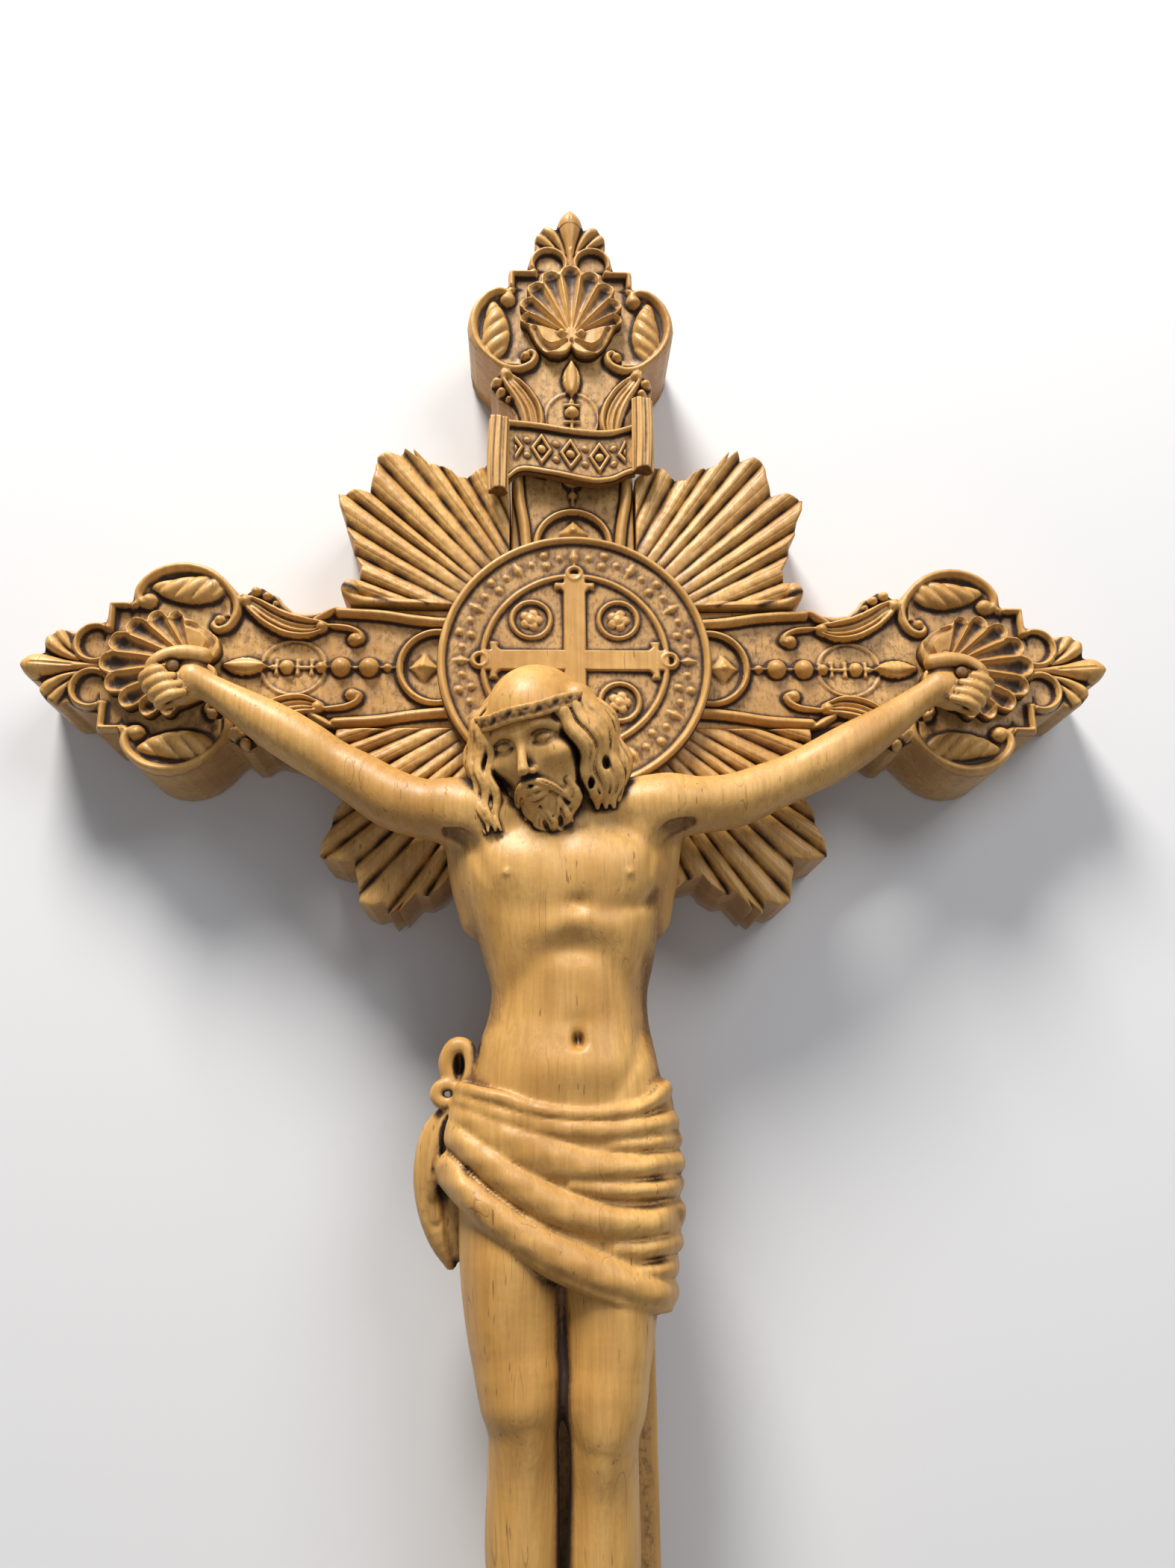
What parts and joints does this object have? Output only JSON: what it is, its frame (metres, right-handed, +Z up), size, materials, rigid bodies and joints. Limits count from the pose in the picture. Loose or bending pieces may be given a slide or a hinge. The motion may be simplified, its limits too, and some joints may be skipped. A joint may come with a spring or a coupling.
{
  "type": "wall crucifix",
  "caption": "Carved wooden wall crucifix with shell and scroll ends, rays and a round medal behind a corpus, hung by a slot in its back",
  "frame": {"origin": "the wall hanger: the top of the keyhole slot on the back plane, where the wall screw carries the cross", "axes": "+Z up the upright, +X to the right seen from the front, front facing -Y, back plane at Y = 0"},
  "size_m": [0.18, 0.0365, 0.3],
  "materials": {
    "board_wood": "satin, dark wax in the recesses",
    "medal_wood": "satin, dark wax in the recesses",
    "figure_wood": "smooth satin, fine grain with short dark flecks",
    "ray_wood": "satin, dark wax in the grooves",
    "shell_wood": "satin, dark wax in the flutes",
    "nail_wood": "satin, darker",
    "dowel_wood": "raw turned wood"
  },
  "bodies": {
    "root": {"upright": "board_wood", "crossbar": "board_wood", "titulus": "board_wood", "medal": "medal_wood", "corpus": "figure_wood", "corpus_left_arm": "figure_wood", "corpus_right_arm": "figure_wood", "crown_of_thorns": "figure_wood", "rays_top_left": "ray_wood", "rays_top_right": "ray_wood", "rays_bottom_left": "ray_wood", "rays_bottom_right": "ray_wood", "shell_top": "shell_wood", "shell_bottom": "shell_wood", "shell_left": "shell_wood", "shell_right": "shell_wood", "nail_left_hand": "nail_wood", "nail_right_hand": "nail_wood", "nail_feet": "nail_wood", "dowel_chest": "dowel_wood", "dowel_hip": "dowel_wood", "dowel_left_shoulder": "dowel_wood", "dowel_right_shoulder": "dowel_wood", "titulus_pin_left": "dowel_wood", "titulus_pin_right": "dowel_wood"}
  },
  "joints": []
}
